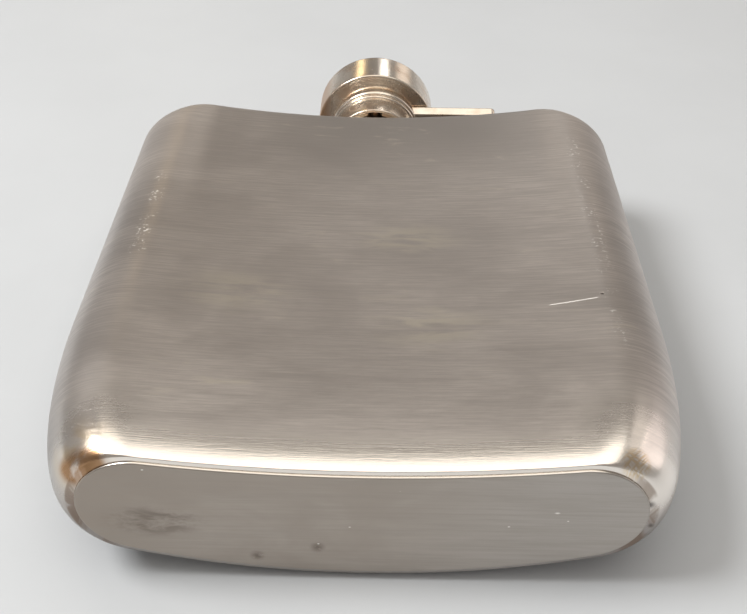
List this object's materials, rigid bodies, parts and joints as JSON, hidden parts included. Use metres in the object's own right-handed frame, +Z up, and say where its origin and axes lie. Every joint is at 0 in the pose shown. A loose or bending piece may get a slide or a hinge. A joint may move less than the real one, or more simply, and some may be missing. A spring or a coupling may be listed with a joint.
{
  "type": "hip flask",
  "caption": "Curved metal pocket flask with a flat kidney base and a captive bayonet cap on a side-hinged arm.",
  "frame": {"origin": "on the surface the flask lies on, under the middle of its overall length and width", "axes": "+Y along the flask from the base plate to the cap, +X across its width towards the hinged arm, +Z up through the concave face"},
  "size_m": [0.088, 0.1154, 0.0241],
  "materials": {
    "body_silver": "satin silver plate on nickel silver, fine brushing across the width",
    "plate_silver": "satin silver plate, lightly tarnished at its edge",
    "polished_silver": "polished silver plate on nickel silver",
    "hinge_metal": "unpolished nickel silver",
    "cork": "natural agglomerated cork"
  },
  "bodies": {
    "flask": {"front_shell": "body_silver", "back_shell": "body_silver", "base_plate": "plate_silver", "neck_collar": "polished_silver", "neck_tube": "polished_silver", "bayonet_pins": "hinge_metal", "hinge_foot": "polished_silver", "hinge_ears": "polished_silver", "hinge_pin": "hinge_metal"},
    "arm": {"swivel_ring": "polished_silver", "hinge_arm": "polished_silver"},
    "cap": {"cap_skirt": "polished_silver", "cap_retaining_bead": "polished_silver", "cap_bayonet_sleeve": "hinge_metal", "cap_underplate": "polished_silver", "cap_shell": "polished_silver", "cap_cork": "cork", "cap_cork_backing": "hinge_metal"}
  },
  "joints": [
    {"name": "arm_hinge", "type": "hinge", "parent": "flask", "child": "arm", "pos_m": [0.0255, 0.0417, 0.0117], "axis": [0, 0, -1], "range_deg": [0, 120]},
    {"name": "cap_twist", "type": "hinge", "parent": "arm", "child": "cap", "pos_m": [0, 0.0353, 0.0117], "axis": [0, 1, 0], "range_deg": [0, 60]}
  ]
}
